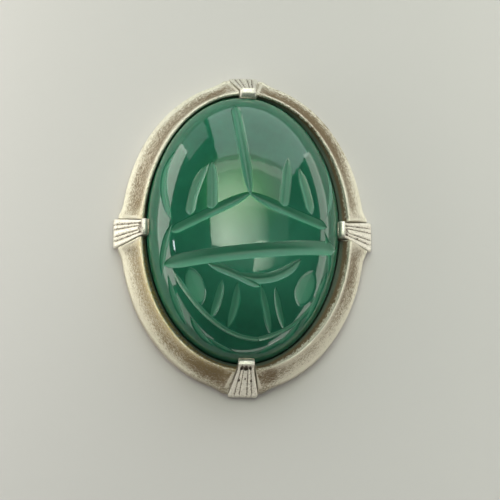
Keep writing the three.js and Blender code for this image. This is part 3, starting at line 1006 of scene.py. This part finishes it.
def claw_tree(claws, stone):
    """A fluted fan with a raised pad at its tip, made by shaping a finely divided box."""
    tree, given, result = geometry_tree(
        "Fluted claw",
        Float=("Foot", "Tip", "Pad Length", "Lean", "Turn", "Pitted"),
        Material=("Material",),
    )
    box = divided_box(tree, 112, 92)
    x, u, side = coordinates(tree)
    foot, tip = given["Foot"], given["Tip"]
    on_top = side.above(0.0)
    reach = foot.toward(tip, (x + 1.0) / 2.0)
    pad_foot = tip + given["Pad Length"]
    share = (foot - reach) / (foot - pad_foot)
    fan = share.within()
    width = claws.foot_width + (claws.tip_width - claws.foot_width) * fan
    # Both ends are rounded, in plan and in height.
    foot_drop = drop(foot - reach, claws.corner)
    tip_drop = drop(reach - tip, claws.corner)
    half = width - drop(foot - reach, claws.round) - tip_drop * 0.6
    # The flutes: lines across the fan that fade out at the foot.
    spread = abs(u)
    lines = curve_through(tree, spread, FLUTES)
    fade = fan.smooth(-0.1, 0.15) * (1.0 - share.smooth(1.0, 1.02))
    rounding = spread**3.0 * 0.1 * MM + spread**14.0 * 0.07 * MM
    spine = (claws.foot + claws.foot_rise) + (claws.shoulder - claws.foot - claws.foot_rise) * fan
    on_pad = ((reach - tip) / given["Pad Length"]).within()
    crown = ((0.5 - on_pad) / 0.5).within() ** 1.5 * 0.32 * MM
    rise = (claws.pad - claws.shoulder - crown) * share.smooth(1.0, 1.06)
    top = spine + rise - rounding - lines * fade * claws.flute - foot_drop * 1.6 - tip_drop * 2.4
    pits = None
    for along, across, radius, depth in PITS:
        away_along = (share - along) * (foot - pad_foot)
        away_across = (u - across) * width
        away = (away_along * away_along + away_across * away_across).root()
        pit = (1.0 - away.smooth(radius * 0.35 * MM, radius * MM)) * (depth * MM)
        pits = pit if pits is None else pits.most(pit)
    pits = pits * given["Pitted"]
    under_pad = claws.shoulder - claws.thickness
    under = claws.foot + (under_pad - claws.foot) * ((share - 0.15) / 0.85).within()
    across = half * u + fan * given["Lean"]
    cos, sin = given["Turn"].cos(), given["Turn"].sin()
    place_x = reach * cos - across * sin
    place_y = reach * sin + across * cos
    under = under.most(dome_height(place_x, place_y, stone) + claws.contact)
    height = under.toward((top - pits).most(under + 0.05 * MM), on_top)
    # Tarnish in the flutes' lines and the pits, partly painted dark reflection in the grooves.
    line = (lines**3.0 * fade * 1.1 + pits / (0.12 * MM)).within(0.0, 1.2) * on_top
    place = vector(tree, place_x, place_y, height)
    shaped = moved(tree, noted(tree, box, "line", line), place)
    outside = add(tree, "GeometryNodeFlipFaces", {0: shaped})
    finish_tree(tree, result, outside.outputs[0], given["Material"], math.radians(60))
    return tree


# Pits left by the casting: share of the way to the pad, place across, radius and depth in mm.
PITS = [
    (0.965, -0.5, 0.19, 0.3),
    (0.955, 0.0, 0.22, 0.34),
    (0.965, 0.5, 0.17, 0.26),
    (0.56, -0.5, 0.13, 0.2),
    (0.6, 0.03, 0.11, 0.14),
    (0.54, 0.56, 0.12, 0.18),
]


class SCARAB_OT_claws(bpy.types.Operator):
    """Make the four fluted claws that grip the stone"""

    bl_idname = "scarab.claws"
    bl_label = "Make the Claws"

    def execute(self, context):
        settings = context.scene.scarab_claws
        tree = claw_tree(settings, context.scene.scarab_stone)
        material = silver_material("claw silver", settings, "line", 0.3, 0.46, 2.0)
        for node, turn in CLAWS.items():
            claw = new_object(node.replace("claw_", "") + "_claw")
            foot, tip = foot_and_tip(node, turn)
            values = {"Foot": foot, "Tip": tip, "Turn": turn, "Lean": lean_of(node, settings)}
            values |= {"Pad Length": pad_length_of(node, settings), "Material": material}
            values["Pitted"] = 1.0 if node == "claw_head" else 0.3
            grow(claw, tree, values)
            settle(claw)
            dress(claw, "claw_silver", node)
        return {"FINISHED"}


# ---- The stage ----


# The lights' tints, and the floor's corners as shares of its reach.
GREENISH = (0.87, 1, 0.78)
COOL = (0.9, 1, 0.98)
WARM = (1, 0.985, 0.9)
BLUISH = (0.85, 0.95, 1)
SQUARE = [(-1, -1), (1, -1), (1, 1), (-1, 1)]


def facing(centre, toward, up):
    """A matrix that puts something at centre with its -Z axis towards a point."""
    back = (Vector(centre) - Vector(toward)).normalized()
    right = Vector(up).cross(back).normalized()
    turn = Matrix((right, back.cross(right), back)).transposed()
    return Matrix.Translation(centre) @ turn.to_4x4()


def softbox(name, centre, toward, size, radiance, up=(0, 0, 1), tint=WARM):
    """A rectangular light of an even brightness that faces from its centre towards a point."""
    light = bpy.data.lights.new(name, "AREA")
    light.shape = "RECTANGLE"
    light.size, light.size_y = size
    light.energy = radiance * size[0] * size[1] * math.pi
    light.color = tint
    lamp = bpy.data.objects.new(name, light)
    bpy.context.scene.collection.objects.link(lamp)
    lamp.matrix_world = facing(centre, toward, up)
    return lamp


# Each light's name, centre, size across and up, and radiance. Two boxes that are brightest
# over the beetle's left shoulder and fade to its right come first, with how far they spread.
SHOULDER = Vector((-0.125, 0.12, 1))
SHOULDER_BOXES = [
    ("overhead softbox", (0.107, 0.151, 0.494), (0.532, 0.243), 0.525, 49.5),
    ("near overhead softbox", (0.235, 0.002, 0.56), (0.31, 0.108), 1.1, 64),
]
OVERHEAD_BOXES = [
    ("overhead fill", (0.062, 0.05, 0.46), (0.446, 0.164), 0.3),
    ("far overhead fill", (0.062, 0.197, 0.46), (0.446, 0.13), 1.25),
    ("overhead strip", (0.062, 0.29, 0.46), (0.47, 0.055), 2.6),
    ("faint overhead strip", (0.062, 0.335, 0.46), (0.47, 0.034), 1.2),
]
STANDING_BOXES = [
    ("far softbox", (0.275, 0.7, 0.46), (1.15, 0.92), 2.25),
    ("far left card", (-0.29, 0.4, 0.14), (0.16, 0.28), 1.1),
    ("left softbox", (-0.06, 0.0155, 0.0145), (0.079, 0.029), 4.0),
    ("low left card", (-0.06, -0.055, 0.0125), (0.06, 0.025), 2.0),
    ("right softbox", (0.06, 0.012, 0.01), (0.072, 0.02), 2.5),
    ("low right card", (0.06, -0.055, 0.01), (0.06, 0.02), 2.6),
    ("near card", (0, -0.3, 0.022), (0.5, 0.036), 2.1),
]

# A small bare bulb on the left, and the end of the broad line that it puts a glint on.
BULB = (-0.093, 0.0028, 0.0565)
GLINT = (-0.0066, -0.0022, 0.0065)

SKY_COLOUR = (0.9, 0.95, 1, 1)
SKY_STRENGTH = 0.12
FLOOR_REACH = 1.5

# The point the camera looks at, and its focal length in millimetres.
AIM = Vector((0.61, -1.63, 2.0)) * MM
FOCAL_LENGTH = 169.8


class SCARAB_OT_stage(bpy.types.Operator):
    """Set the pale floor, the soft light and the camera"""

    bl_idname = "scarab.stage"
    bl_label = "Set the Stage"

    def execute(self, context):
        settings = context.scene.scarab_stage
        mesh = bpy.data.meshes.new("floor")
        corners = [(x * FLOOR_REACH, y * FLOOR_REACH, 0) for x, y in SQUARE]
        mesh.from_pydata(corners, [], [(0, 1, 2, 3)])
        floor = new_object("floor", mesh)
        made, tree, shader = new_material("pale floor")
        shader.inputs["Base Color"].default_value = (*settings.floor, 1)
        shader.inputs["Roughness"].default_value = 0.9
        mesh.materials.append(made)

        upward = (0, 1, 0)
        for name, centre, size, radiance, spread in SHOULDER_BOXES:
            toward = Vector(centre) - SHOULDER
            lamp = softbox(name, centre, toward, size, radiance, upward, GREENISH)
            lamp.data.spread = math.radians(spread)
        for name, centre, size, radiance in OVERHEAD_BOXES:
            softbox(name, centre, (*centre[:2], 0), size, radiance, upward)
        for name, centre, size, radiance in STANDING_BOXES:
            level = (centre[0] if name == "far softbox" else 0, 0, centre[2])
            tint = COOL if name.startswith("far") else WARM
            softbox(name, centre, level, size, radiance, tint=tint)
        softbox("bulb", BULB, GLINT, (0.007, 0.005), 16.0, tint=BLUISH)

        world = bpy.data.worlds.new("soft grey")
        world.use_nodes = True
        sky = world.node_tree.nodes["Background"]
        sky.inputs["Color"].default_value = SKY_COLOUR
        sky.inputs["Strength"].default_value = SKY_STRENGTH
        context.scene.world = world

        level = math.cos(settings.elevation)
        across, along = math.sin(settings.azimuth) * level, -math.cos(settings.azimuth) * level
        away = Vector((across, along, math.sin(settings.elevation)))
        lens = bpy.data.cameras.new("camera")
        lens.lens = FOCAL_LENGTH
        lens.sensor_width = 36
        lens.clip_start = 0.01
        camera = bpy.data.objects.new("camera", lens)
        context.scene.collection.objects.link(camera)
        camera.matrix_world = facing(AIM + away * settings.distance, AIM, upward)
        context.scene.camera = camera
        context.scene.view_settings.view_transform = "Standard"
        return {"FINISHED"}


# ---- The add-on ----


class SCARAB_PT_panel(bpy.types.Panel):
    """The scarab's settings and the buttons that make its pieces"""

    bl_idname = "SCARAB_PT_panel"
    bl_label = "Mounted Scarab"
    bl_space_type = "VIEW_3D"
    bl_region_type = "UI"
    bl_category = "Scarab"

    def draw(self, context):
        for group in GROUPS:
            box = self.layout.box()
            box.operator(group.replace("_", "."))
            settings = getattr(context.scene, group)
            for name in settings.__annotations__:
                box.prop(settings, name)


GROUPS = {
    "scarab_stone": StoneSettings,
    "scarab_frame": FrameSettings,
    "scarab_claws": ClawSettings,
    "scarab_stage": StageSettings,
}
CLASSES = [
    *GROUPS.values(),
    SCARAB_OT_stone,
    SCARAB_OT_frame,
    SCARAB_OT_claws,
    SCARAB_OT_stage,
    SCARAB_PT_panel,
]


def register():
    for made in CLASSES:
        bpy.utils.register_class(made)
    for name, group in GROUPS.items():
        setattr(bpy.types.Scene, name, PointerProperty(type=group))


def unregister():
    for name in GROUPS:
        delattr(bpy.types.Scene, name)
    for made in reversed(CLASSES):
        bpy.utils.unregister_class(made)


def main():
    register()
    bpy.ops.scarab.stage()
    bpy.ops.scarab.stone()
    bpy.ops.scarab.frame()
    bpy.ops.scarab.claws()


if __name__ == "__main__":
    main()
